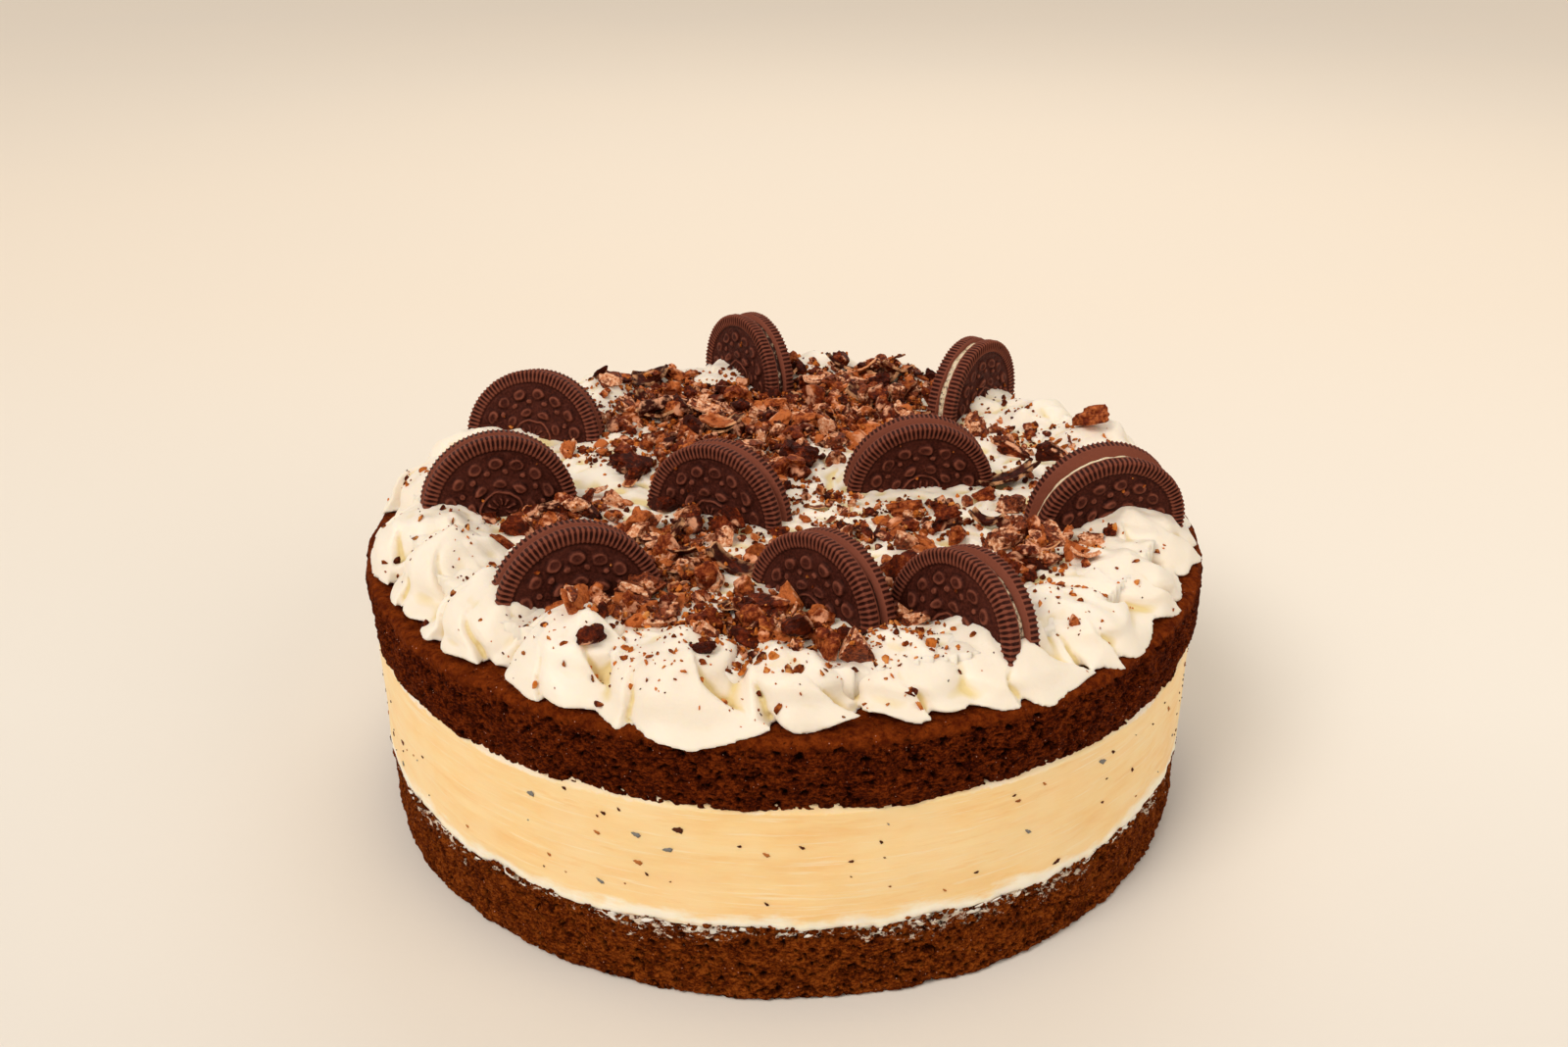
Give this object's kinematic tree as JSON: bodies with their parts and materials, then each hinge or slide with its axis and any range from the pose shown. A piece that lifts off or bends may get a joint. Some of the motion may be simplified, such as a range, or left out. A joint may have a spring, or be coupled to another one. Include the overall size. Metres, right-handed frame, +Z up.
{
  "type": "frozen chocolate walnut layer cake",
  "caption": "Round ice cream layer cake: chocolate sponge round a pale ice cream band, piped whipped cream, crumbled chocolate and nuts, and sandwich cookies stood in the top.",
  "frame": {"origin": "centre of the flat underside", "axes": "+Z up through the layers, -Y the front shown in the picture, +X to the viewer's right"},
  "size_m": [0.2324, 0.233, 0.1043],
  "materials": {
    "lower_sponge": "open crumb, dark orange-brown",
    "upper_sponge": "open crumb, very dark brown, browner on top",
    "ice_cream": "smooth frozen, warm cream with dark specks",
    "whipped_cream": "soft satin, warm white",
    "wafer": "dull baked, dark maroon-brown",
    "cookie_filling": "dull, pale cream"
  },
  "bodies": {
    "root": {"sponge_bottom": "lower_sponge", "ice_cream": "ice_cream", "sponge_top": "upper_sponge", "whipped_cream": "whipped_cream", "cookie_01_front_wafer": "wafer", "cookie_01_filling": "cookie_filling", "cookie_01_back_wafer": "wafer", "cookie_02_front_wafer": "wafer", "cookie_02_filling": "cookie_filling", "cookie_02_back_wafer": "wafer", "cookie_03_front_wafer": "wafer", "cookie_03_filling": "cookie_filling", "cookie_03_back_wafer": "wafer", "cookie_04_front_wafer": "wafer", "cookie_04_filling": "cookie_filling", "cookie_04_back_wafer": "wafer", "cookie_05_front_wafer": "wafer", "cookie_05_filling": "cookie_filling", "cookie_05_back_wafer": "wafer", "cookie_06_front_wafer": "wafer", "cookie_06_filling": "cookie_filling", "cookie_06_back_wafer": "wafer", "cookie_07_front_wafer": "wafer", "cookie_07_filling": "cookie_filling", "cookie_07_back_wafer": "wafer", "cookie_08_front_wafer": "wafer", "cookie_08_filling": "cookie_filling", "cookie_08_back_wafer": "wafer", "cookie_09_front_wafer": "wafer", "cookie_09_filling": "cookie_filling", "cookie_09_back_wafer": "wafer", "cookie_10_front_wafer": "wafer", "cookie_10_filling": "cookie_filling", "cookie_10_back_wafer": "wafer"}
  },
  "joints": []
}
